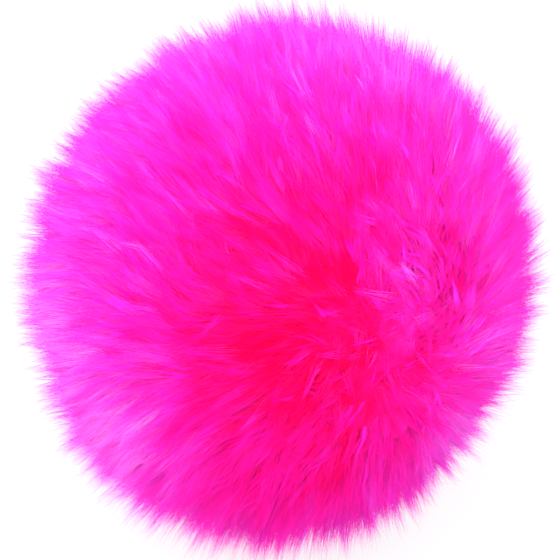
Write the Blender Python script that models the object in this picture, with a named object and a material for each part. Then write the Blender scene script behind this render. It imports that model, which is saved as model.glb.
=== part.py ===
"""A pom pom of long fur: 300 three-sided locks that stand on one ball of backing.

The locks spread from a crown at the front and lean away from it, as brushed fur does. Each
one narrows to a point. Under the ball they are shorter and end level, so that it rests on them.

Units are metres and degrees, +Z is up, and the front faces -Y. The origin is on the surface
that the ball rests on, right under its centre.
"""

import math

import bmesh
import bpy
import numpy as np
from mathutils import Vector

# The ball
FUR_RADIUS = 0.0490         # from the centre to the ends of the locks, on average
BACKING_RADIUS = 0.0345     # the ball that the roots are fused into
CENTRE_HEIGHT = 0.0465      # of the ball's centre, where the fur below gives under its weight
LEAN_SHARE = 0.037          # how much longer the ball is along its lean, and slimmer across it
LEAN_TURN = 150.0           # of the lean, to the right of the front
LEAN_HEIGHT = 46.0          # above level

# The crown that the fur spreads from
CROWN_TURN = 25.0           # to the right of the front
CROWN_HEIGHT = 22.0         # above level
COMB_ANGLE = 16.0           # that a tip is swept round the ball, half way from crown to back
COMB_CURVE = 1.5            # over 1, the sweep grows towards the tip, so each lock is curved

# The locks
LATTICE_POINTS = 152        # a closed net of N points has 2 N - 4 triangles, here 300
LOCK_GAP = 0.0016           # between the roots of two locks
LENGTH_SPREAD = 0.035       # share that a lock is longer or shorter than its neighbours
LEVEL_END = 0.72            # width of a resting lock's end, as a share of its root's

# Cross sections of a lock: its share of the length, and its width as a share of its root's
SECTIONS = (
    (0.34, 0.94),
    (0.64, 0.76),
    (0.86, 0.46),
)

# Fuller and thinner places in the fur: the turn to the right of the front and the height above
# level, then the rise as a share of the radius, and the reach of the place as an angle
SWELLS = (
    # turn, height, rise, reach
    (107.0, 19.0, 0.012, 20.0),
    (-103.0, 15.0, 0.023, 14.0),
    (-79.0, -13.0, -0.028, 14.0),
    (67.0, -25.0, -0.026, 16.0),
    (23.0, -48.0, 0.014, 16.0),
)

FUR_PINK = (0.86, 0.02, 0.36, 1.0)
FUR_ROUGHNESS = 0.85
SHARP_ANGLE = 50.0          # a lock's long edges are sharp, and the bends along it are smooth

GOLDEN_SHARE = (math.sqrt(5.0) - 1.0) / 2.0
CENTRE = np.array((0.0, 0.0, CENTRE_HEIGHT))
DOWN = np.array((0.0, 0.0, -1.0))


def bearing(turn, height):
    """Unit vector at an angle to the right of the front (-Y) and an angle above level."""
    across = math.cos(math.radians(height))
    return np.array((
        across * math.sin(math.radians(turn)),
        -across * math.cos(math.radians(turn)),
        math.sin(math.radians(height)),
    ))


CROWN = bearing(CROWN_TURN, CROWN_HEIGHT)
LEAN = bearing(LEAN_TURN, LEAN_HEIGHT)


def unit(vectors):
    """The same vectors with a length of 1."""
    return vectors / np.linalg.norm(vectors, axis=-1, keepdims=True)


def combed(directions, share):
    """Directions swept away from the crown at a share of a lock's length.

    The angle from the crown grows by the comb angle times its own sine, so the crown and the
    point opposite it stay where they are and no two locks cross.
    """
    cosine = np.clip(directions @ CROWN, -1.0, 1.0)
    angle = np.arccos(cosine)
    sideways = unit(directions - cosine[..., None] * CROWN)
    swept = angle + math.radians(COMB_ANGLE) * share ** COMB_CURVE * np.sin(angle)
    return np.cos(swept)[..., None] * CROWN + np.sin(swept)[..., None] * sideways


def uncombed_down():
    """The direction at the roots whose tip is swept to straight below the centre."""
    target = math.acos(float(DOWN @ CROWN))
    angle = target
    for _ in range(40):     # each step brings the angle several times nearer
        angle = target - math.radians(COMB_ANGLE) * math.sin(angle)
    sideways = unit(DOWN - (DOWN @ CROWN) * CROWN)
    return math.cos(angle) * CROWN + math.sin(angle) * sideways


def free_reach(directions):
    """Distance from the centre to the ends of the fur, where nothing presses on it."""
    along = directions @ LEAN
    share = 1.0 + LEAN_SHARE * (2.0 * along ** 2 - 1.0)
    for turn, height, rise, reach in SWELLS:
        apart = np.arccos(np.clip(directions @ bearing(turn, height), -1.0, 1.0))
        share = share + rise * np.exp(-(apart / math.radians(reach)) ** 2)
    return FUR_RADIUS * share


def floor_reach(directions):
    """Distance from the centre to the surface below it, and none for directions that miss it."""
    downward = np.maximum(-directions[..., 2], 1e-6)
    return CENTRE_HEIGHT / downward


def free_end(directions, length_share):
    """Distance from the centre to a lock's end, where nothing presses on it."""
    return BACKING_RADIUS + length_share * (free_reach(directions) - BACKING_RADIUS)


def lock_directions(middle, corners, share, width):
    """Directions to a lock's corners, narrowed about its middle and swept by the comb."""
    return combed(unit(middle + width * (corners - middle)), share)


def lock_points(middle, corners, share, width, length_share):
    """A lock's corners at a share of its length, which is shorter where it meets the surface."""
    directions = lock_directions(middle, corners, share, width)
    end = np.minimum(free_end(directions, length_share), floor_reach(directions))
    radius = BACKING_RADIUS + share * (end - BACKING_RADIUS)
    return CENTRE + radius[:, None] * directions


def rests(middle, corners, length_share):
    """Whether the whole end of a lock would reach the surface."""
    directions = lock_directions(middle, corners, 1.0, LEVEL_END)
    return bool(np.all(free_end(directions, length_share) > floor_reach(directions)))


def spiral_points():
    """Points spread evenly over a ball of radius 1, a golden share of a turn apart."""
    number = np.arange(LATTICE_POINTS)
    height = 1.0 - (2.0 * number + 1.0) / LATTICE_POINTS
    across = np.sqrt(1.0 - height ** 2)
    turn = 2.0 * np.pi * GOLDEN_SHARE * number
    return np.stack((across * np.cos(turn), across * np.sin(turn), height), axis=1)


def backing_ball():
    """The closed net of triangles that the locks grow from, with one of them right below."""
    net = bmesh.new()
    for point in spiral_points():
        net.verts.new(BACKING_RADIUS * point)
    bmesh.ops.convex_hull(net, input=net.verts[:])

    side = Vector((1.0, 0.0, 0.0))
    outermost = max(net.faces, key=lambda face: face.calc_center_median().dot(side))
    turned = outermost.calc_center_median().rotation_difference(Vector(uncombed_down()))
    bmesh.ops.rotate(net, verts=net.verts[:], cent=(0.0, 0.0, 0.0), matrix=turned.to_matrix())
    bmesh.ops.translate(net, verts=net.verts[:], vec=Vector(CENTRE))
    return net


def move_corners(face, points):
    """Put a face's corners at the given points."""
    for vertex, point in zip(face.verts, points):
        vertex.co = point


def grow_lock(net, face, length_share):
    """Draw a face of the net out into a pointed lock, or into a short one that rests."""
    corners = unit(np.array([vertex.co for vertex in face.verts]) - CENTRE)
    middle = unit(corners.mean(axis=0))
    resting = rests(middle, corners, length_share)
    sections = SECTIONS
    if resting:
        sections = [(share, max(width, LEVEL_END)) for share, width in SECTIONS]
        sections.append((1.0, LEVEL_END))

    move_corners(face, lock_points(middle, corners, 0.0, 1.0, length_share))
    for share, width in sections:
        face = bmesh.ops.extrude_discrete_faces(net, faces=[face])["faces"][0]
        move_corners(face, lock_points(middle, corners, share, width, length_share))
    if not resting:
        tip = bmesh.ops.poke(net, faces=[face])["verts"][0]
        tip.co = lock_points(middle, corners[:1], 1.0, 0.0, length_share)[0]
    return resting


def fur_material():
    """Soft matt fur, dyed a bright pink."""
    material = bpy.data.materials.new("fur")
    material.use_nodes = True
    shader = material.node_tree.nodes["Principled BSDF"]
    shader.inputs["Base Color"].default_value = FUR_PINK
    shader.inputs["Roughness"].default_value = FUR_ROUGHNESS
    shader.inputs["Metallic"].default_value = 0.0
    return material


def make_fur_ball():
    """The backing ball with all its locks, as one solid."""
    net = backing_ball()
    roots = net.faces[:]
    bmesh.ops.inset_individual(net, faces=roots, thickness=LOCK_GAP / 2.0, use_even_offset=True)
    resting = 0
    for number, root in enumerate(roots):
        spread = 2.0 * (number * GOLDEN_SHARE % 1.0) - 1.0
        resting += grow_lock(net, root, 1.0 + LENGTH_SPREAD * spread)
    bmesh.ops.triangulate(net, faces=net.faces[:])

    mesh = bpy.data.meshes.new("fur_ball")
    net.to_mesh(mesh)
    net.free()
    mesh.materials.append(fur_material())
    mesh.shade_smooth()
    mesh.set_sharp_from_angle(angle=math.radians(SHARP_ANGLE))
    bpy.context.collection.objects.link(bpy.data.objects.new("fur_ball", mesh))
    print(f"{len(roots)} locks, {resting} of them resting, {len(mesh.polygons)} triangles")


for old in list(bpy.data.objects):
    bpy.data.objects.remove(old)
make_fur_ball()
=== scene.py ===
# %% [markdown]
# # A ball of long pink fur
#
# A fur pom pom is a small gathered ball with thousands of soft hairs on it. The hairs stand in
# pointed tufts that lean away from one crown. This lesson dresses a plain solid model of such a
# ball with an inner ball of matted fur, a layer of thick locks, a layer of pointed tufts, and a
# cloud of fine fuzz. Everything is worked out with numpy as whole arrays, in metres, +Z up.

# %% Load the fixed model
import math

import bpy
import numpy as np
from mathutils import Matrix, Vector


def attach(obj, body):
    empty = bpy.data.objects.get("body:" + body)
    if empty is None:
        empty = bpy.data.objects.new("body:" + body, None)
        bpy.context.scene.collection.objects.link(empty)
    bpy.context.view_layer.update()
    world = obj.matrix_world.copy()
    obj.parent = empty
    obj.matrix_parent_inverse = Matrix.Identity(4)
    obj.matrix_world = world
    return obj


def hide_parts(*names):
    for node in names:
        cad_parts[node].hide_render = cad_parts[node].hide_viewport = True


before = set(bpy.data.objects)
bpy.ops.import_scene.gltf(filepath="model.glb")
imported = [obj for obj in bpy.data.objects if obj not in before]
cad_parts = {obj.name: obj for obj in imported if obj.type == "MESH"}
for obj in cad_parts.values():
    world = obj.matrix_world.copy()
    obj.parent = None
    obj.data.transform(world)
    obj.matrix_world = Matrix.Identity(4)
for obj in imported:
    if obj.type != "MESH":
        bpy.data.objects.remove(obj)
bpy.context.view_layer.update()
print("nodes of the solid model:", sorted(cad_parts))

# %% [markdown]
# ## The form that every layer shares
#
# The hairs could be placed by a particle system, but then nothing else could follow them. Here
# a few functions of direction hold the whole form, and every layer asks them, so the layers
# agree. Much of that form is local: a fuller side, a paler patch, a turn of the nap. All of
# those are lists of places, each with a centre, a change and a reach, and one function adds
# them up as soft bells.

# %% The sizes of the ball
FUR_RADIUS = 0.0500         # from the centre to the ends of the fur, on average
CENTRE_HEIGHT = 0.0465      # of the ball's centre above the surface
LEAN_SHARE = 0.037          # how much longer the ball is along its lean, and slimmer across it
TINY = 1e-9                 # keeps what is divided by from being none

# Fuller and thinner places: turn, height, rise as a share of the radius, and reach. In this
# list and those below, turn, height and reach are in degrees.
SWELLS = (
    (107.0, 19.0, 0.012, 20.0),
    (-103.0, 15.0, 0.023, 14.0),
    (-79.0, -13.0, -0.028, 14.0),
    (67.0, -25.0, -0.026, 16.0),
    (23.0, -48.0, 0.014, 16.0),
)


def bearing(turn, height):
    """Unit vector at a turn to the right of the front (-Y) and a height above level, in
    degrees: the cosine of the height is shared between X and Y, and its sine is Z."""
    across = math.cos(math.radians(height))
    return np.array((
        across * math.sin(math.radians(turn)),
        -across * math.cos(math.radians(turn)),
        math.sin(math.radians(height)),
    ))


def unit(vectors):
    """The same vectors with a length of 1: each one over its own length."""
    return vectors / np.linalg.norm(vectors, axis=-1, keepdims=True)


def angle_from(directions, centre):
    """The angle of each direction from a centre: the arc cosine of their product."""
    return np.arccos(np.clip(directions @ centre, -1.0, 1.0))


def places(directions, listed):
    """The sum of the listed places' changes at each direction. A place adds its change times
    e to the power of minus the square of the angle from it over its reach."""
    total = np.zeros(directions.shape[:-1])
    for turn, height, change, reach in listed:
        apart = angle_from(directions, bearing(turn, height))
        total += change * np.exp(-(apart / math.radians(reach)) ** 2)
    return total


CENTRE = np.array((0.0, 0.0, CENTRE_HEIGHT))
CROWN = bearing(30.8, 15.3)         # the middle of the parting that the hairs lean away from
LEAN = bearing(150.0, 46.0)         # the way along which the ball is longest


def fur_reach(directions):
    """Distance from the centre to the ends of the fur: the radius times a share, which is 1
    plus the lean's share times the cosine of twice the angle from the lean, plus the fuller
    and thinner places."""
    along = directions @ LEAN
    share = 1.0 + LEAN_SHARE * (2.0 * along ** 2 - 1.0) + places(directions, SWELLS)
    return FUR_RADIUS * share


def floor_reach(directions):
    """Distance from the centre to the surface: the centre's height over the downward part."""
    return CENTRE_HEIGHT / np.maximum(-directions[..., 2], TINY)


print("fur at the crown reaches, mm:", round(1000 * float(fur_reach(CROWN)), 1))

# %% [markdown]
# ## Smooth waves
#
# Fur is never even. Its pile stands in broad clumps, the clumps part into locks, and each lock
# leans its own way. A sum of sine waves in random directions gives such a field. It is smooth,
# it costs little to read at any direction, and its period sets the size of the clumps.

# %% Waves of many sizes
PERIOD_SPREAD = (0.7, 1.4)          # that single waves are quicker or slower than asked


def waves(seed, period, count=9):
    """A smooth random field on the ball: the sum of sine waves in random directions, whose
    length over the fur is about the period, over the root of their count. Its values are
    mostly from -1 to 1."""
    dice = np.random.default_rng(seed)
    heading = unit(dice.normal(size=(count, 3)))
    pace = 2.0 * math.pi * FUR_RADIUS / period * dice.uniform(*PERIOD_SPREAD, count)
    start = dice.uniform(0.0, 2.0 * math.pi, count)

    def field(directions):
        """The sum of the waves at each direction."""
        return np.sin(directions @ (heading * pace[:, None]).T + start).sum(-1) / math.sqrt(count)

    return field


LUMPS = waves(21, 0.021)            # broad clumps of the pile
LOCKS = waves(2, 0.0075)            # locks of several tufts
CLUMPS = waves(6, 0.0040, 20)       # single tufts and their neighbours
LEAN_ACROSS = waves(3, 0.017)       # locks lean a little to one side or the other
LEAN_AWAY = waves(4, 0.015)         # and lie flatter or stand up more
WAVY = waves(8, 0.0085, 14)         # small waves in the nap
PATCHES = waves(5, 0.026)           # slow changes of shade
sample = unit(np.random.default_rng(0).normal(size=(1000, 3)))
print("spread of the lumps' field:", round(float(LUMPS(sample).std()), 2))

# %% [markdown]
# ## The flow of the nap
#
# Each hair leans over the ball, so it needs two directions in the surface: away from the
# crown and across that. On a real ball the hairs do not run straight away from the crown.
# They swirl round it a little, and where a thumb pressed the fur they turn further. The swirl
# is one angle, and the turned spots are a list of places.

# %% Away, across, and the turn between them
SWIRL = 15.0                # of the whole nap, to the left of straight away, in degrees

# Turned spots: turn, height, further turn to the left, reach
TWISTS = (
    (55.0, 22.0, 67.0, 18.0),
    (-31.0, 35.0, -30.0, 26.0),
    (40.0, 16.0, 70.0, 12.0),
    (56.0, 44.0, 38.0, 12.0),
    (21.0, -15.0, -26.0, 26.0),
    (-38.0, 0.0, 36.0, 12.0),
    (-34.0, 27.0, -33.0, 12.0),
    (-68.0, 78.0, -18.0, 18.0),
    (21.0, 35.0, -24.0, 12.0),
    (10.0, 24.0, 19.0, 12.0),
)


def away_and_across(directions):
    """Two unit vectors in the ball's surface: away from the crown, which is the crown's
    vector with its radial part taken off, turned round, and across that, their product."""
    away = unit(directions * (directions @ CROWN)[..., None] - CROWN)
    return away, np.cross(directions, away)


def twist(directions):
    """The angle between the nap and straight away from the crown: the swirl plus the spots."""
    return np.radians(SWIRL + places(directions, TWISTS))


print("turn of the nap, degrees:", np.degrees(twist(sample)).min().round(), "to",
      np.degrees(twist(sample)).max().round())

# %% [markdown]
# ## Where the light and dye are painted
#
# The fur is painted deepest at one spot on the front, where the camera looks into the pile,
# and paler all round it: painted shade there and painted light towards the rim, with the
# dye's own tone. So the shade follows the angle from that spot. It fades fast to one side
# and slowly up and down. That leaves soft patches that are a little paler or deeper, partly
# painted light and partly dye, and these are places too. A shade of 0 is the deepest, 1 is
# pale, and a little over 1 is the brightest, a painted rim light.

# %% Painted light and paleness
# painted shade: the fur is painted deepest round this spot, where the camera looks into the pile
PAINTED_SHADE_CENTRE = bearing(13.0, 23.0)
PALE_FROM = 4.0             # angle from the deepest spot where it starts to pale, in degrees
PALE_AT = 72.0              # and where it is pale
PALE_UP = 0.76              # how fast it pales upwards, where to the left is 1
PALE_DOWN = 0.84
PALE_RIGHT = 1.58
PALE_LIMIT = 1.02

# Patches of painted light and dye tone: turn, height, change, reach
LIGHT_AND_DYE_PLACES = (
    (-34.0, -4.0, 0.52, 14.0),
    (92.0, 16.0, -0.29, 40.0),
    (38.0, 28.0, 0.32, 10.0),
    (-41.0, 46.0, -0.15, 40.0),
    (-29.0, 44.0, 0.27, 10.0),
    (102.0, 76.0, 0.15, 14.0),
    (-60.0, 11.0, 0.32, 10.0),
    (55.0, 22.0, -0.31, 10.0),
    (18.0, 27.0, -0.12, 10.0),
    (37.0, 9.0, -0.15, 10.0),
    (41.0, -14.0, 0.35, 10.0),
    (-23.0, 70.0, 0.15, 10.0),
    (-18.0, 1.0, 0.14, 10.0),
    (72.0, 52.0, -0.18, 10.0),
)


def light_and_dye_paleness(directions):
    """Painted shade and light, with the dye's tone: the angle from the deepest spot, times a
    pace, from 0 at the first angle to 1 at the second, plus the patches. The pace is the length
    of the sideways and the upward share of the way from the spot, each times its own pace."""
    side = unit(np.cross((0.0, 0.0, 1.0), PAINTED_SHADE_CENTRE))
    upper = np.cross(PAINTED_SHADE_CENTRE, side)
    sideways = directions @ side
    upwards = directions @ upper
    slow = np.where(upwards > 0.0, PALE_UP, PALE_DOWN)
    fast = np.where(sideways > 0.0, PALE_RIGHT, 1.0)
    square = sideways ** 2 + upwards ** 2 + TINY
    pace = np.sqrt(((fast * sideways) ** 2 + (slow * upwards) ** 2 + TINY) / square)
    angle = np.degrees(angle_from(directions, PAINTED_SHADE_CENTRE))
    pale = np.minimum((angle * pace - PALE_FROM) / (PALE_AT - PALE_FROM), PALE_LIMIT)
    return pale + places(directions, LIGHT_AND_DYE_PLACES)


print("share of the ball that is pale:", round(float((light_and_dye_paleness(sample) > 0.8).mean()), 2))

# %% [markdown]
# ## Where the hairs stand
#
# Fur clumps: a dozen hairs share one point at the tip, as in a wet brush, so each layer is
# planted tuft by tuft. A spiral with a golden share of a turn between neighbours spreads any
# number of tufts evenly, where a grid would crowd them at its poles. At the crown itself no
# way is "away". The comb fades there, and each tuft curls its own way.
#
# The waves of height and shade are read where a tuft ends, not where it is rooted, because
# its end is what shows. So the layers agree wherever their hairs lie side by side, and the
# clumps stay clear.
#
# On two sides the hairs have been rubbed, and their ends are at very different lengths. From
# afar this shows as a wide haze at the rim.

# %% Even places on a spiral
GOLDEN_SHARE = (math.sqrt(5.0) - 1.0) / 2.0
COAT_TUFTS = 3540
JITTER = 0.22                       # that a tuft is off its even place, as a share of the gap


def spacing(count):
    """The angle between neighbours, when so many share the ball: the root of 4 pi over their
    count."""
    return math.sqrt(4.0 * math.pi / count)


def spiral(count, seed):
    """Directions spread evenly over the ball: equal steps in height and a golden share of a
    turn between neighbours, each then moved by a random part of their spacing."""
    number = np.arange(count)
    height = 1.0 - (2.0 * number + 1.0) / count
    across = np.sqrt(1.0 - height ** 2)
    turn = 2.0 * np.pi * GOLDEN_SHARE * number
    even = np.stack((across * np.cos(turn), across * np.sin(turn), height), axis=1)
    dice = np.random.default_rng(seed)
    return unit(even + JITTER * spacing(count) * dice.normal(size=(count, 3)))


print("degrees between neighbours in the coat:", round(math.degrees(spacing(COAT_TUFTS)), 1))

# %% Tufts with a bend, a reach and a shade
COMB_ANGLE = math.radians(10.0)     # that the comb sweeps a tip round the ball
COMB_FADE = math.radians(14.0)      # from the crown, where the comb takes hold
COMB_POWER = 1.5                    # over 1 leaves the crown itself calmer
NEAR_CROWN = math.radians(20.0)     # how far the crown's own curls reach
LOOSE_DEPTH = 0.055                 # how much shorter the hairs start at a rubbed place

# How far a tip bends, as an angle in radians
CURL = 0.034                        # each tuft for itself
CROWN_CURL = 0.055                  # and more at the crown
AWAY_BEND = 0.025                   # by the wave along the nap
ACROSS_BEND = 0.045                 # by the broad wave across it
WAVY_BEND = 0.040                   # by the small wave across it
CROWN_CALM = 0.5                    # share of the waves across it that is gone at the crown

# How far the clumps rise, as a share of the fur's reach
LUMP_RISE = 0.010
LOCK_RISE = 0.010
CLUMP_RISE = 0.008
RISE_LIMIT = 0.022                  # the most that a tuft rises or sinks

# How far each thing moves the shade
# painted light: a tuft that rises is painted paler, because more light reaches it
RISE_SHADE = 5.0                    # for each share that a tuft rises
PATCH_SHADE = 0.03
LOCK_SHADE = 0.06
CLUMP_SHADE = 0.10
PALEST = 1.15                       # the most that a tuft's place gives it

# Rubbed places: turn, height, strength, reach
LOOSE_PLACES = (
    (-88.0, 6.0, 1.0, 38.0),
    (180.0, 50.0, 0.45, 40.0),
)


def plant(seed, count, tip, uneven, crown, varied):
    """Tufts as arrays: where each stands, how its tip is bent away and across, how far it
    reaches as a share of the fur, its shade, how near the crown it is, and how loose.

    The bend is the comb's angle, split by the nap's turn, plus the waves and a random part.
    The comb fades in from the crown as 1 less e to the power of minus x, where x is the angle
    from the crown over the fade, raised to the comb's power. The reach is the tip's share
    plus the rise of the clumps, made uneven, plus the crown's own share, less the depth of a
    rubbed place. The shade is the painted light and dye's paleness plus the waves, varied at
    random. A tuft that rises is painted paler, as painted light, because more light reaches it."""
    dice = np.random.default_rng(seed)
    middle = spiral(count, seed)
    angle = angle_from(middle, CROWN)
    near = np.exp(-(angle / NEAR_CROWN) ** 2)
    swept = COMB_ANGLE * (1.0 - np.exp(-(angle / COMB_FADE) ** COMB_POWER))
    turned = twist(middle)
    sidelong = ACROSS_BEND * LEAN_ACROSS(middle) + WAVY_BEND * WAVY(middle)
    bend = dice.normal(size=(count, 2)) * (CURL + CROWN_CURL * near)[:, None]
    bend[:, 0] += swept * np.cos(turned) + AWAY_BEND * LEAN_AWAY(middle) * (1.0 - near)
    bend[:, 1] += swept * np.sin(turned) + sidelong * (1.0 - CROWN_CALM * near)

    away, across = away_and_across(middle)
    ends = unit(middle + bend[:, :1] * away + bend[:, 1:] * across)
    rise = LUMP_RISE * LUMPS(ends) + LOCK_RISE * LOCKS(ends) + CLUMP_RISE * CLUMPS(ends)
    rise += uneven * dice.normal(size=count)
    rise = RISE_LIMIT * np.tanh(rise / RISE_LIMIT)
    loose = places(middle, LOOSE_PLACES)
    reach = tip + rise + crown * near - LOOSE_DEPTH * loose

    shade = np.clip(light_and_dye_paleness(middle), 0.0, PALEST) + RISE_SHADE * rise
    shade += PATCH_SHADE * PATCHES(ends) + LOCK_SHADE * LOCKS(ends)
    shade += CLUMP_SHADE * CLUMPS(ends)
    shade += varied * dice.normal(size=count)
    print(f"{count} tufts, reach from", reach.min().round(2), "to", reach.max().round(2))
    return {
        "middle": middle, "bend": bend, "reach": reach, "shade": shade,
        "near": near, "loose": loose,
    }


def some_of(tufts, part, parts):
    """Every so many of the tufts, from one of them on."""
    return {name: values[part::parts] for name, values in tufts.items()}


print("the curls at the crown reach out to, mm:", round(1000 * FUR_RADIUS * NEAR_CROWN, 1))

# %% [markdown]
# ## The hairs of each tuft
#
# A hair is a path of a few points from the root to the tip. Its root stands a little off the
# tuft's middle, and the hairs close in as they rise, so the tuft is full below and pointed
# above. The bend grows faster than the length, so a strand with a point part way up curves
# over. The finest hairs run straight from root to tip, because so little of each one shows
# that a curve in it would be lost. Below the ball the surface stops them.
#
# A layer of fur differs from another by a few numbers only: how wide its tufts start, how
# closely they gather, how far their hairs part, and how much longer some are than others. So
# one function grows every layer, and each layer below gives its own numbers.

# %% Paths of the hairs
ROOT_RADIUS = 0.0415        # from the centre to the roots
ROOT_SPACING = spacing(COAT_TUFTS)      # a tuft's hairs start within a share of it
LONGEST = 1.100             # share of the fur's reach that no hair passes
ANY_TURN = 6.3              # a little over a full turn, in radians
ROOT_SCATTER = 0.25         # that a root is off its place, as a share of its way from the middle
LENGTH_STEPS = (-2.0, 1.6)  # the shortest and the longest hair, in steps of the variation
GATHER_POWER = 1.1          # of the share of the length, by which the hairs of a tuft gather
FRAY_POWER = 2.0            # by which they part again
BEND_POWER = 1.4            # and by which the tuft bends over
FAST_START = 1.35           # how fast a hair rises from its root, where even is 1
REST_GAP = 0.0004           # between the surface below and the lowest hairs
REST_SPREAD = 0.0022        # and how much higher than that the others stop
DEEPER = 0.05               # that all hairs are deeper in shade than their tuft
HAIR_SHADE = 0.01           # that the hairs of a tuft differ in shade
CROWN_HAIR_SHADE = 0.04     # and more at the crown


def strand_paths(tufts, seed, strands, stops, spread, gather, fray, vary, stray=0.0,
                 together=0.0, haze=0.0):
    """Paths as (strand, point, 3), each strand's sideways place in its tuft, from 0 in the
    middle to about 1, and its shade. The stops are the shares of the length where the points
    are.

    At a share v of its length, a strand's direction is its tuft's, plus its own place times
    1 less the gather times v, plus its fray times v, plus the tuft's bend times v, each v to
    its own power. Its end is the tuft's reach, varied, plus a random part of the stray and of
    the haze at a loose place. The strands of one tuft share some of that random part, which
    is how far they stay together. The radius goes from the roots to that end, fast at first,
    and stops above the surface."""
    dice = np.random.default_rng(seed)
    middle = tufts["middle"]
    count = len(middle)
    away, across = away_and_across(middle)
    number = np.arange(strands) + 0.5
    ring = np.sqrt(number / strands) * ROOT_SPACING * spread
    turn = 2.0 * math.pi * GOLDEN_SHARE * number[None, :] + dice.uniform(0, ANY_TURN, (count, 1))
    place = np.stack((ring * np.cos(turn), ring * np.sin(turn)), axis=-1)
    place += dice.normal(size=place.shape) * ROOT_SCATTER * ring[None, :, None]
    split = dice.normal(size=place.shape) * fray

    length = vary * np.clip(dice.normal(size=(count, strands)), *LENGTH_STEPS)
    length += tufts["reach"][:, None]
    apart = together * dice.uniform(0.0, 1.0, (count, 1))
    apart = apart + (1.0 - together) * dice.uniform(0.0, 1.0, (count, strands))
    length += (stray + haze * tufts["loose"][:, None]) * apart
    length = np.minimum(length, LONGEST)

    v = np.array(stops)[None, None, :, None]
    steps = place[:, :, None, :] * (1.0 - gather * v ** GATHER_POWER)
    steps = steps + split[:, :, None, :] * v ** FRAY_POWER
    steps = steps + tufts["bend"][:, None, None, :] * v ** BEND_POWER
    directions = unit(
        middle[:, None, None, :]
        + steps[..., :1] * away[:, None, None, :]
        + steps[..., 1:] * across[:, None, None, :]
    )
    risen = v[..., 0] * (FAST_START - (FAST_START - 1.0) * v[..., 0])
    ends = length[:, :, None] * fur_reach(directions)
    rest = REST_GAP + dice.uniform(0.0, REST_SPREAD, (count, strands, 1))
    radius = np.minimum(
        ROOT_RADIUS + (ends - ROOT_RADIUS) * risen,
        floor_reach(directions) * (1.0 - rest / CENTRE_HEIGHT),
    )
    paths = (CENTRE + radius[..., None] * directions).reshape(-1, len(stops), 3)
    sideways = place[..., :1] * away[:, None, :] + place[..., 1:] * across[:, None, :]
    varied = HAIR_SHADE + CROWN_HAIR_SHADE * tufts["near"][:, None]
    shades = tufts["shade"][:, None] - DEEPER + varied * dice.normal(size=(count, strands))
    return paths, sideways.reshape(-1, 3) / ROOT_SPACING, shades.ravel()


print("roots stand on a ball of, mm:", round(2000 * ROOT_RADIUS, 1))

# %% Widths of the hairs
TAPER_POWER = 2.2           # higher keeps a strand wide until nearer its tip
WIDTH_SPREAD = 0.25         # that a strand is thicker or finer


def tapered(seed, strands, stops, width):
    """Widths along each strand: the width times 1 less the share of its length to the taper's
    power, so it is none at the tip. Each strand is a little thicker or finer."""
    along = np.array(stops)
    dice = np.random.default_rng(seed)
    thickness = dice.uniform(1.0 - WIDTH_SPREAD, 1.0 + WIDTH_SPREAD, (strands, 1))
    return width * thickness * (1.0 - along ** TAPER_POWER)[None, :]


print("width half way along, share of the root's:", round(1.0 - 0.5 ** TAPER_POWER, 2))

# %% [markdown]
# ## From paths to a mesh
#
# Each hair becomes a thin closed tube of three sides that ends in a point. Blender's curves
# could draw hairs too, but a mesh keeps them as real surfaces anywhere. All hairs of a layer
# have the same number of points, so one block of face numbers, shifted once for each hair,
# builds them all.
#
# Light does not fall on a hair in fur as on a bare wire, because its neighbours scatter it.
# So each hair takes its normals mostly from the ball, with a little of its own roundness.
#
# The hairs also carry a colour map. Across it runs the shade, and up it runs the way from the
# root to the tip. Hairs of one shade share one strip, so any number of them fits.

# %% The faces of one strand
SIDES = 3


def strand_faces(rings):
    """Faces of one strand: walls of four corners between its rings, fans of three at the
    point, and the closed root. Also the place of each corner on the colour map, as its share
    of the strip's width and its ring."""
    spot = np.linspace(0.0, 1.0, SIDES)
    faces = [tuple(reversed(range(SIDES)))]
    spots = [[(x, 0) for x in reversed(spot)]]
    for ring in range(rings):
        for side in range(SIDES):
            a = ring * SIDES + side
            b = ring * SIDES + (side + 1) % SIDES
            left = side / SIDES
            right = (side + 1) / SIDES
            if ring + 1 < rings:
                faces.append((a, b, b + SIDES, a + SIDES))
                spots.append([(left, ring), (right, ring), (right, ring + 1), (left, ring + 1)])
            else:
                faces.append((a, b, rings * SIDES))
                spots.append([(left, ring), (right, ring), ((left + right) / 2, ring + 1)])
    return faces, spots


print("faces of one hair:", len(strand_faces(1)[0]))

# %% Many strands as one mesh
FLATTEN = 0.75              # thickness of a strand as a share of its width
FIRST_CORNER = 1.0 / 12.0   # of a turn round the strand, which puts one corner outermost
HAIR_STRIP = 1.0 / 512.0    # width of one hair on the colour map
LOCK_STRIP = 1.0 / 30.0     # width of one lock there, so that it shows many streaks
PALE_SPOT = 0.8             # where a shade of 1 is on the map; the brightest end, a painted rim light, is at 1


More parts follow.
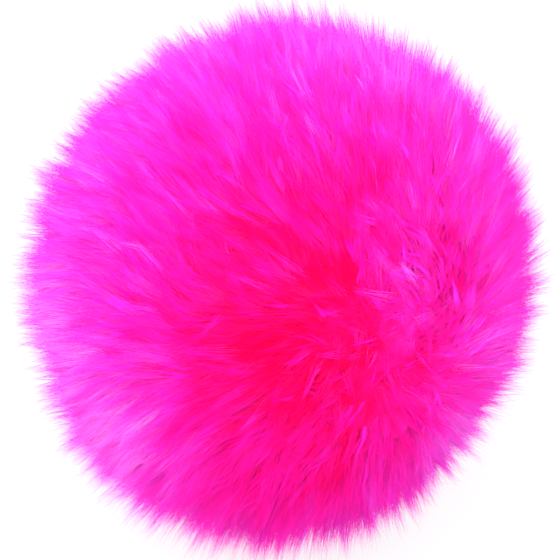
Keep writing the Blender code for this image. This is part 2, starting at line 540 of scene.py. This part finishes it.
def strand_mesh(name, paths, stops, widths, shades, sideways, strip, roundness, turned):
    """A mesh of many strands. A ring's corner is the path's point, plus half the width times
    the cosine of the corner's angle across the strand, plus the flattened half times its sine
    towards the ball. A normal is the outward direction, plus the roundness times the corner's
    own way out of the strand, turned to the strand's side of its tuft. paths are (strand,
    point, 3), widths (strand, point), and sideways (strand, 3)."""
    count, points = paths.shape[:2]
    rings = points - 1
    along = unit(np.gradient(paths, axis=1))
    outward = unit(paths - CENTRE)
    across = unit(np.cross(along, outward) + TINY)
    inward = np.cross(along, across)
    angles = (np.arange(SIDES) / SIDES + FIRST_CORNER) * 2.0 * math.pi
    around = (
        np.cos(angles)[:, None] * across[:, :rings, None, :]
        + FLATTEN * np.sin(angles)[:, None] * inward[:, :rings, None, :]
    )
    corners = paths[:, :rings, None, :] + widths[:, :rings, None, None] / 2.0 * around
    vertices = np.concatenate((corners.reshape(count, -1, 3), paths[:, -1:]), axis=1)
    leaning = turned * sideways
    soft = outward[:, :rings, None, :] + roundness * around + leaning[:, None, None, :]
    point = outward[:, -1:] + leaning[:, None, :]
    normals = np.concatenate((soft.reshape(count, -1, 3), point), axis=1)

    faces, spots = strand_faces(rings)
    per_strand = vertices.shape[1]
    corner_ids = np.concatenate([np.array(face) for face in faces])
    sizes = np.array([len(face) for face in faces])
    spots = np.concatenate([np.array(spot) for spot in spots])
    loops = (corner_ids[None, :] + per_strand * np.arange(count)[:, None]).ravel()
    starts = np.concatenate(([0], np.cumsum(np.tile(sizes, count))[:-1]))
    shown = np.clip(PALE_SPOT * shades, 0.0, 1.0)
    map_x = shown[:, None] * (1.0 - strip) + strip * spots[None, :, 0]
    map_y = np.broadcast_to(np.array(stops)[spots[:, 1].astype(int)][None, :], map_x.shape)

    mesh = bpy.data.meshes.new(name)
    mesh.vertices.add(count * per_strand)
    mesh.vertices.foreach_set("co", vertices.astype(np.float32).ravel())
    mesh.loops.add(len(loops))
    mesh.loops.foreach_set("vertex_index", loops.astype(np.int32))
    mesh.polygons.add(len(starts))
    mesh.polygons.foreach_set("loop_start", starts.astype(np.int32))
    colour_map = mesh.uv_layers.new(name="OFBake")
    uv = np.stack((map_x, map_y), axis=-1).astype(np.float32)
    colour_map.data.foreach_set("uv", uv.ravel())
    mesh.update(calc_edges=True)
    mesh.shade_smooth()
    mesh.normals_split_custom_set_from_vertices(unit(normals.reshape(-1, 3)))
    mesh.calc_loop_triangles()
    print(f"{name}: {count} strands, {len(mesh.loop_triangles)} triangles")
    return mesh


print("a shade of 1 is at", PALE_SPOT, "of the colour map's width")

# %% [markdown]
# ## The colour of dyed fur
#
# Dye does not take evenly: some tufts stay paler than others, and so do the tips of the
# hairs. Deep between them the light has passed many hairs and is redder, though some shines
# through and keeps the gaps from going dark; the colour paints that in as painted light,
# lighter towards the roots. So colour needs two inputs: how pale this hair is, as painted
# light and dye, and how far along it. The hairs carry both on their own map. One node group
# turns them into a colour, and every fur material uses it with its own four dyes.

# %% The dye as a node group
STREAKS = 260.0             # fine streaks across the whole colour map
STREAK_SHARE = 0.06         # how far a streak moves the shade
NOISE_MIDDLE = 0.5          # of Blender's noise, which runs from 0 to 1
TIP_POWER = 4.0             # higher keeps the paler end nearer the tip


def dye_group():
    """Colour from the hair's map. The place across the map, painted light and dye together,
    with fine streaks and the tip's rise, runs through four dyes: deep, middle, pale and
    bright, from painted shade to painted light. Towards the root the colour is raised to a
    power below 1, which lightens its blue and green: painted light in the gaps, standing in
    for light that shines through real hairs."""
    group = bpy.data.node_groups.new("fur_dye", "ShaderNodeTree")
    sockets = group.interface
    for name in ("Deep", "Middle", "Pale", "Bright"):
        sockets.new_socket(name, in_out="INPUT", socket_type="NodeSocketColor")
    sockets.new_socket("Root light power", in_out="INPUT", socket_type="NodeSocketFloat")
    sockets.new_socket("Tip rise", in_out="INPUT", socket_type="NodeSocketFloat")
    sockets.new_socket("Color", in_out="OUTPUT", socket_type="NodeSocketColor")
    nodes = group.nodes
    links = group.links
    given = nodes.new("NodeGroupInput")
    result = nodes.new("NodeGroupOutput")
    place = nodes.new("ShaderNodeUVMap")
    place.uv_map = "OFBake"
    parts = nodes.new("ShaderNodeSeparateXYZ")
    links.new(place.outputs["UV"], parts.inputs[0])

    streaks = nodes.new("ShaderNodeTexNoise")
    streaks.noise_dimensions = "1D"
    streaks.inputs["Scale"].default_value = STREAKS
    streaks.inputs["Detail"].default_value = 1.0
    links.new(parts.outputs["X"], streaks.inputs["W"])
    centred = nodes.new("ShaderNodeMath")
    centred.operation = "SUBTRACT"
    links.new(streaks.outputs["Fac"], centred.inputs[0])
    centred.inputs[1].default_value = NOISE_MIDDLE
    streaked = nodes.new("ShaderNodeMath")
    streaked.operation = "MULTIPLY_ADD"
    links.new(centred.outputs[0], streaked.inputs[0])
    streaked.inputs[1].default_value = STREAK_SHARE
    links.new(parts.outputs["X"], streaked.inputs[2])

    tips = nodes.new("ShaderNodeMath")
    tips.operation = "POWER"
    links.new(parts.outputs["Y"], tips.inputs[0])
    tips.inputs[1].default_value = TIP_POWER
    shade = nodes.new("ShaderNodeMath")
    shade.operation = "MULTIPLY_ADD"
    links.new(tips.outputs[0], shade.inputs[0])
    links.new(given.outputs["Tip rise"], shade.inputs[1])
    links.new(streaked.outputs[0], shade.inputs[2])

    def part_of_shade(start, end):
        """How far the shade is on its way between two places: 0 at the first, 1 at the
        second."""
        part = nodes.new("ShaderNodeMapRange")
        part.inputs["From Min"].default_value = start
        part.inputs["From Max"].default_value = end
        links.new(shade.outputs[0], part.inputs["Value"])
        return part.outputs["Result"]

    def mixed(factor, first, second):
        """The first colour at a factor of 0, the second at 1, and their mix between."""
        mix = nodes.new("ShaderNodeMix")
        mix.data_type = "RGBA"
        links.new(factor, mix.inputs["Factor"])
        links.new(first, mix.inputs["A"])
        links.new(second, mix.inputs["B"])
        return mix.outputs["Result"]

    half = PALE_SPOT / 2.0
    lower = mixed(part_of_shade(0.0, half), given.outputs["Deep"], given.outputs["Middle"])
    upper = mixed(part_of_shade(half, PALE_SPOT), lower, given.outputs["Pale"])
    dyed = mixed(part_of_shade(PALE_SPOT, 1.0), upper, given.outputs["Bright"])
    # painted light: towards the root the colour is lightened, so the gaps between hairs do not go
    # dark
    power = nodes.new("ShaderNodeMapRange")
    links.new(parts.outputs["Y"], power.inputs["Value"])
    links.new(given.outputs["Root light power"], power.inputs["To Min"])
    lighter = nodes.new("ShaderNodeGamma")
    links.new(dyed, lighter.inputs["Color"])
    links.new(power.outputs["Result"], lighter.inputs["Gamma"])
    links.new(lighter.outputs["Color"], result.inputs["Color"])
    return group


DYE = dye_group()
print("nodes in the dye group:", len(DYE.nodes))

# %% [markdown]
# ## Fur as a material
#
# Soft hair has no clear highlight, only a pale sheen where the ball turns away. So the shader
# is rough, its plain highlight is off, and a magenta sheen does that work.

# %% Fur materials
SHEEN_ROUGHNESS = 0.3
SHEEN_TINT = (1.0, 0.06, 0.80, 1.0)
FUR_ROUGHNESS = 0.6
DEEP = (1.0, 0.0001, 0.030)


def fur_material(name, dyes, root_light_power, tip_rise):
    """Soft fur: the dye group feeds the base colour, and a sheen lies over it."""
    material = bpy.data.materials.new(name)
    material.use_nodes = True
    nodes = material.node_tree.nodes
    shader = nodes["Principled BSDF"]
    dye = nodes.new("ShaderNodeGroup")
    dye.node_tree = DYE
    for socket, colour in zip(("Deep", "Middle", "Pale", "Bright"), dyes):
        dye.inputs[socket].default_value = (*colour, 1.0)
    dye.inputs["Root light power"].default_value = root_light_power
    dye.inputs["Tip rise"].default_value = tip_rise
    material.node_tree.links.new(dye.outputs["Color"], shader.inputs["Base Color"])
    shader.inputs["Roughness"].default_value = FUR_ROUGHNESS
    shader.inputs["Specular IOR Level"].default_value = 0.0
    shader.inputs["Sheen Weight"].default_value = 1.0
    shader.inputs["Sheen Roughness"].default_value = SHEEN_ROUGHNESS
    shader.inputs["Sheen Tint"].default_value = SHEEN_TINT
    return material


def add_piece(name, mesh, material):
    """Put a finished mesh in the scene as a piece of the ball, with its material."""
    mesh.materials.append(material)
    piece = bpy.data.objects.new(name, mesh)
    bpy.context.collection.objects.link(piece)
    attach(piece, "root")
    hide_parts("fur_ball")
    return piece


print("sheen tint:", SHEEN_TINT[:3])

# %% [markdown]
# ## The inner ball
#
# Between the tufts the eye meets the matted undercoat. A smooth ball would look like plastic
# there, so this one is a grid round the crown with a fine relief of ridges. It stands higher
# at the crown, where the hairs part, and lower where they are rubbed short. It takes some of
# the painted light and the dye's shade too, from a value at each of its points, so that a gap
# in pale fur is not dark. It is the piece that stands for the solid, and it gives.

# %% A grid round the crown
INNER_RADIUS = 0.0436       # on average
CROWN_FILL = 0.0019         # how much the undercoat stands higher at the crown
LOOSE_DROP = 0.0020         # and lower at a rubbed place
RIDGES = waves(7, 0.0032, 14)
RIDGE_HEIGHT = 0.0004
LOCK_HEIGHT = 0.0006
PRESSED = 0.99              # share of the way to the surface below where the ball stops
UNDERCOAT_PALEST = 1.1      # the most that a point's place gives it
GRID_ANGLES = 90
GRID_TURNS = 120


def inner_ball():
    """A closed grid over the ball: the angle from the crown runs one way and the turn about
    it the other. The radius is a share of the fur's reach, with fine waves on it, plus the
    crown's fill, less the drop at the rubbed places. Each point keeps the painted light and
    the dye's paleness."""
    side = unit(np.cross(CROWN, (0.0, 0.0, 1.0)))
    top = np.cross(side, CROWN)
    angle, turn = np.meshgrid(
        np.linspace(0.0, math.pi, GRID_ANGLES + 1)[1:-1],
        np.linspace(0.0, 2.0 * math.pi, GRID_TURNS, endpoint=False),
        indexing="ij",
    )
    directions = (
        np.cos(angle)[..., None] * CROWN
        + (np.sin(angle) * np.cos(turn))[..., None] * side
        + (np.sin(angle) * np.sin(turn))[..., None] * top
    ).reshape(-1, 3)
    directions = np.concatenate((directions, (CROWN, -CROWN)))
    ridges = RIDGE_HEIGHT * RIDGES(directions) + LOCK_HEIGHT * LOCKS(directions)
    fuller = np.exp(-(angle_from(directions, CROWN) / NEAR_CROWN) ** 2)
    radius = INNER_RADIUS / FUR_RADIUS * fur_reach(directions) + ridges
    radius += CROWN_FILL * fuller - LOOSE_DROP * np.clip(places(directions, LOOSE_PLACES), 0, 1)
    radius = np.minimum(radius, PRESSED * floor_reach(directions))
    points = CENTRE + radius[:, None] * directions

    row = np.arange(GRID_TURNS)
    after = (row + 1) % GRID_TURNS
    first = (np.arange(GRID_ANGLES - 2) * GRID_TURNS)[:, None]
    walls = np.stack(
        (first + row, first + GRID_TURNS + row, first + GRID_TURNS + after, first + after), -1
    )
    last = (GRID_ANGLES - 2) * GRID_TURNS
    front = len(points) - 2
    caps = [(front, a, b) for a, b in zip(row, after)]
    caps += [(front + 1, last + b, last + a) for a, b in zip(row, after)]
    mesh = bpy.data.meshes.new("inner_ball")
    mesh.from_pydata(points.tolist(), [], walls.reshape(-1, 4).tolist() + caps)
    # painted light and dye: each point keeps the shade painted on the fur above it
    pale = np.clip(light_and_dye_paleness(directions), 0.0, UNDERCOAT_PALEST)
    shade = mesh.attributes.new("shade", "FLOAT", "POINT")
    shade.data.foreach_set("value", pale.astype(np.float32))
    mesh.validate()
    mesh.shade_smooth()
    return mesh


print("undercoat at the crown, mm below the ends:",
      round(1000 * (FUR_RADIUS - INNER_RADIUS - CROWN_FILL), 1))

# %% The undercoat's colour, and the piece
MATTED_SCALE = 160.0
MATTED_DETAIL = 4.0
MATTED_SHARE = 0.50         # how far the noise moves the colour
SHADE_SHARE = 0.70          # and how far the painted light and dye's paleness does
MATTED_ROUGHNESS = 0.9

# Dyes of the undercoat, each with its place between deep and pale; the noise and the painted
# light pick among them
MATTED_DYES = (
    (0.15, (0.98, 0.001, 0.06, 1.0)),
    (0.45, (0.98, 0.004, 0.17, 1.0)),
    (1.0, (0.98, 0.03, 0.58, 1.0)),
)


def matted_material():
    """The undercoat: three dyes, from deep to pale. Which of them shows is the noise in
    object space times its share, plus the painted light and dye's shade at that point times
    its share."""
    material = bpy.data.materials.new("matted_undercoat")
    material.use_nodes = True
    nodes = material.node_tree.nodes
    links = material.node_tree.links
    shader = nodes["Principled BSDF"]
    place = nodes.new("ShaderNodeTexCoord")
    noise = nodes.new("ShaderNodeTexNoise")
    noise.inputs["Scale"].default_value = MATTED_SCALE
    noise.inputs["Detail"].default_value = MATTED_DETAIL
    shade = nodes.new("ShaderNodeAttribute")
    shade.attribute_name = "shade"
    shaded = nodes.new("ShaderNodeMath")
    shaded.operation = "MULTIPLY"
    shaded.inputs[1].default_value = SHADE_SHARE
    both = nodes.new("ShaderNodeMath")
    both.operation = "MULTIPLY_ADD"
    both.inputs[1].default_value = MATTED_SHARE
    ramp = nodes.new("ShaderNodeValToRGB")
    stops = ramp.color_ramp.elements
    stops.new(0.5)
    for stop, (position, colour) in zip(stops, MATTED_DYES):
        stop.position = position
        stop.color = colour
    links.new(place.outputs["Object"], noise.inputs["Vector"])
    links.new(shade.outputs["Fac"], shaded.inputs[0])
    links.new(noise.outputs["Fac"], both.inputs[0])
    links.new(shaded.outputs[0], both.inputs[2])
    links.new(both.outputs[0], ramp.inputs["Fac"])
    links.new(ramp.outputs["Color"], shader.inputs["Base Color"])
    shader.inputs["Roughness"].default_value = MATTED_ROUGHNESS
    shader.inputs["Specular IOR Level"].default_value = 0.0
    return material


ball = add_piece("inner_ball", inner_ball(), matted_material())
print("inner ball:", len(ball.data.polygons), "faces")

# %% [markdown]
# ## Thick locks
#
# Under the fine hairs lies a coat of short thick locks. They give the ball its body: they
# close the view to the undercoat and carry the slow changes of shade. Each is one wide strand
# with a curve in it and many streaks across. Near the crown they stand up and are slimmer.

# %% The coat of locks
LOCK_PARTS = "ab"
LOCK_STOPS = (0.0, 0.62, 1.0)       # the middle one lets a lock curve
LOCKS_A_TUFT = 5
LOCK_WIDTH = 0.0014
CROWN_SLIMMER = 0.4         # share of their width that the locks lose at the crown
LOCK_DYES = (DEEP, (1.0, 0.0034, 0.34), (1.0, 0.023, 0.72), (1.0, 0.13, 0.90))

lock_fur = fur_material("fur_locks", LOCK_DYES, root_light_power=0.62, tip_rise=0.14)
coat = plant(seed=12, count=COAT_TUFTS, tip=0.900, uneven=0.014, crown=0.010, varied=0.08)
for part, letter in enumerate(LOCK_PARTS):
    some = some_of(coat, part, len(LOCK_PARTS))
    paths, sideways, shades = strand_paths(
        some, 20 + part, LOCKS_A_TUFT, LOCK_STOPS, spread=0.70, gather=0.60, fray=0.015,
        vary=0.020,
    )
    slimmer = 1.0 - CROWN_SLIMMER * np.repeat(some["near"], LOCKS_A_TUFT)[:, None]
    widths = tapered(25 + part, len(paths), LOCK_STOPS, LOCK_WIDTH) * slimmer
    name = "locks_" + letter
    mesh = strand_mesh(
        name, paths, LOCK_STOPS, widths, shades, sideways, LOCK_STRIP, roundness=0.20,
        turned=0.25,
    )
    add_piece(name, mesh, lock_fur)

# %% [markdown]
# ## Pointed tufts
#
# The tufts that the eye picks out are bundles of fine hairs that meet in a point. Each tuft
# has its own shade, some clearly paler than their neighbours, and its hairs are about as long
# as each other. All of them are a little paler than the coat, so that they stand out from it.
# Eleven hairs a tuft are enough, because the locks fill the space behind them.

# %% The layer of tufts
HAIR_STOPS = (0.0, 1.0)             # a fine hair is straight
TUFT_COUNT = 4200
HAIRS_A_TUFT = 11
TUFT_WIDTH = 0.00015
PALER = 0.06                # that the tufts are paler than the coat
TUFT_DYES = (DEEP, (1.0, 0.0034, 0.34), (1.0, 0.023, 0.70), (1.0, 0.13, 0.90))

tuft_fur = fur_material("fur_tufts", TUFT_DYES, root_light_power=0.56, tip_rise=0.28)
tufts = plant(seed=17, count=TUFT_COUNT, tip=0.966, uneven=0.018, crown=0.0, varied=0.14)
tufts["shade"] += PALER
paths, sideways, shades = strand_paths(
    tufts, 30, HAIRS_A_TUFT, HAIR_STOPS, spread=0.50, gather=0.93, fray=0.006, vary=0.010,
    stray=0.045, together=0.5,
)
widths = tapered(40, len(paths), HAIR_STOPS, TUFT_WIDTH)
mesh = strand_mesh(
    "tufts", paths, HAIR_STOPS, widths, shades, sideways, HAIR_STRIP, roundness=0.10,
    turned=0.20,
)
add_piece("tufts", mesh, tuft_fur)

# %% [markdown]
# ## Fuzz
#
# The outermost hairs are the finest. There are so many, at such different lengths, that the
# rim of the ball has no edge: it fades out over several millimetres. Many small tufts with a
# wide spread of lengths do this, where a few long ones would look like stray threads. The
# layer is made in three parts, so that each mesh stays light.

# %% The layer of fuzz
FUZZ_PARTS = "abc"
FUZZ_TUFTS = 11400
FUZZ_HAIRS = 12
FUZZ_WIDTH = 0.00012
FUZZ_DYES = (DEEP, (1.0, 0.0030, 0.30), (1.0, 0.026, 0.63), (1.0, 0.16, 0.88))

fuzz_fur = fur_material("fur_fuzz", FUZZ_DYES, root_light_power=0.58, tip_rise=0.14)
fuzz = plant(seed=15, count=FUZZ_TUFTS, tip=0.908, uneven=0.010, crown=-0.060, varied=0.05)
for part, letter in enumerate(FUZZ_PARTS):
    some = some_of(fuzz, part, len(FUZZ_PARTS))
    paths, sideways, shades = strand_paths(
        some, 50 + part, FUZZ_HAIRS, HAIR_STOPS, spread=0.50, gather=0.88, fray=0.009,
        vary=0.012, stray=0.190, together=0.45, haze=0.085,
    )
    widths = tapered(51 + part, len(paths), HAIR_STOPS, FUZZ_WIDTH)
    name = "fuzz_" + letter
    mesh = strand_mesh(
        name, paths, HAIR_STOPS, widths, shades, sideways, HAIR_STRIP, roundness=0.10,
        turned=0.20,
    )
    add_piece(name, mesh, fuzz_fur)

# %% [markdown]
# ## Floor, light and camera
#
# Bright pink fur looks its best in a bright white room. The light comes from all sides, the
# red in the fur passes what a screen can show, and only blue and green still draw the form.
# The floor is a light table: it glows a little by itself, so that the shadow below the ball
# stays faint, and the fine hairs at the rim melt into white. One broad lamp stands above on
# the left.

# %% The white room
FLOOR_HALF = 3.0            # half its width, in metres
FLOOR_WHITE = 0.12
FLOOR_ROUGHNESS = 0.9
FLOOR_GLOW = 0.82
WORLD_STRENGTH = 2.2
WHITE = (1.0, 1.0, 1.0, 1.0)

floor_mesh = bpy.data.meshes.new("floor")
floor_corners = [
    (-FLOOR_HALF, -FLOOR_HALF, 0.0),
    (FLOOR_HALF, -FLOOR_HALF, 0.0),
    (FLOOR_HALF, FLOOR_HALF, 0.0),
    (-FLOOR_HALF, FLOOR_HALF, 0.0),
]
floor_mesh.from_pydata(floor_corners, [], [(0, 1, 2, 3)])
floor = bpy.data.objects.new("floor", floor_mesh)
bpy.context.collection.objects.link(floor)

table = bpy.data.materials.new("light_table")
table.use_nodes = True
table_shader = table.node_tree.nodes["Principled BSDF"]
table_shader.inputs["Base Color"].default_value = (FLOOR_WHITE, FLOOR_WHITE, FLOOR_WHITE, 1.0)
table_shader.inputs["Roughness"].default_value = FLOOR_ROUGHNESS
table_shader.inputs["Emission Color"].default_value = WHITE
table_shader.inputs["Emission Strength"].default_value = FLOOR_GLOW
floor_mesh.materials.append(table)

world = bpy.data.worlds.new("white_room")
world.use_nodes = True
world.node_tree.nodes["Background"].inputs["Color"].default_value = WHITE
world.node_tree.nodes["Background"].inputs["Strength"].default_value = WORLD_STRENGTH
bpy.context.scene.world = world
print("floor glows at", FLOOR_GLOW, "in a room of", WORLD_STRENGTH)

# %% The lamp
LAMP_TURN = -50.0           # to the right of the front, in degrees
LAMP_HEIGHT = 60.0          # above level, in degrees
LAMP_DISTANCE = 1.2
LAMP_SIZE = 1.2
LAMP_POWER = 15.0           # in watts


def aimed(thing, turn, height, distance):
    """Stand a lamp or a camera at a bearing from the ball's centre, facing the ball: its place
    is the centre plus the distance times the bearing."""
    thing.location = CENTRE + distance * bearing(turn, height)
    facing = Vector(CENTRE) - thing.location
    thing.rotation_euler = facing.to_track_quat("-Z", "Y").to_euler()
    bpy.context.collection.objects.link(thing)


lamp_data = bpy.data.lights.new("soft_box_left", "AREA")
lamp_data.shape = "DISK"
lamp_data.size = LAMP_SIZE
lamp_data.energy = LAMP_POWER
aimed(bpy.data.objects.new("soft_box_left", lamp_data), LAMP_TURN, LAMP_HEIGHT, LAMP_DISTANCE)
print("lamp above on the left,", LAMP_POWER, "W")

# %% The camera
VIEW_HEIGHT = 40.0          # of the camera above level, in degrees
VIEW_DISTANCE = 0.62
FRAME_PIXELS = 560.0
BALL_PIXELS = 528.0         # width of the ball in that frame
SHIFT_PIXELS = (-1.5, 0.5)  # of the frame, to the right and up
SENSOR_WIDTH = 36.0         # in millimetres

camera_data = bpy.data.cameras.new("camera")
camera = bpy.data.objects.new("camera", camera_data)
aimed(camera, 0.0, VIEW_HEIGHT, VIEW_DISTANCE)
bpy.context.scene.camera = camera
half_ball = math.tan(math.asin(FUR_RADIUS / VIEW_DISTANCE))
half_frame = half_ball * FRAME_PIXELS / BALL_PIXELS
camera_data.sensor_width = SENSOR_WIDTH
camera_data.lens = SENSOR_WIDTH / 2.0 / half_frame
camera_data.shift_x = SHIFT_PIXELS[0] / FRAME_PIXELS
camera_data.shift_y = SHIFT_PIXELS[1] / FRAME_PIXELS
bpy.context.scene.view_settings.view_transform = "Standard"
print("lens, mm:", round(camera_data.lens, 1))
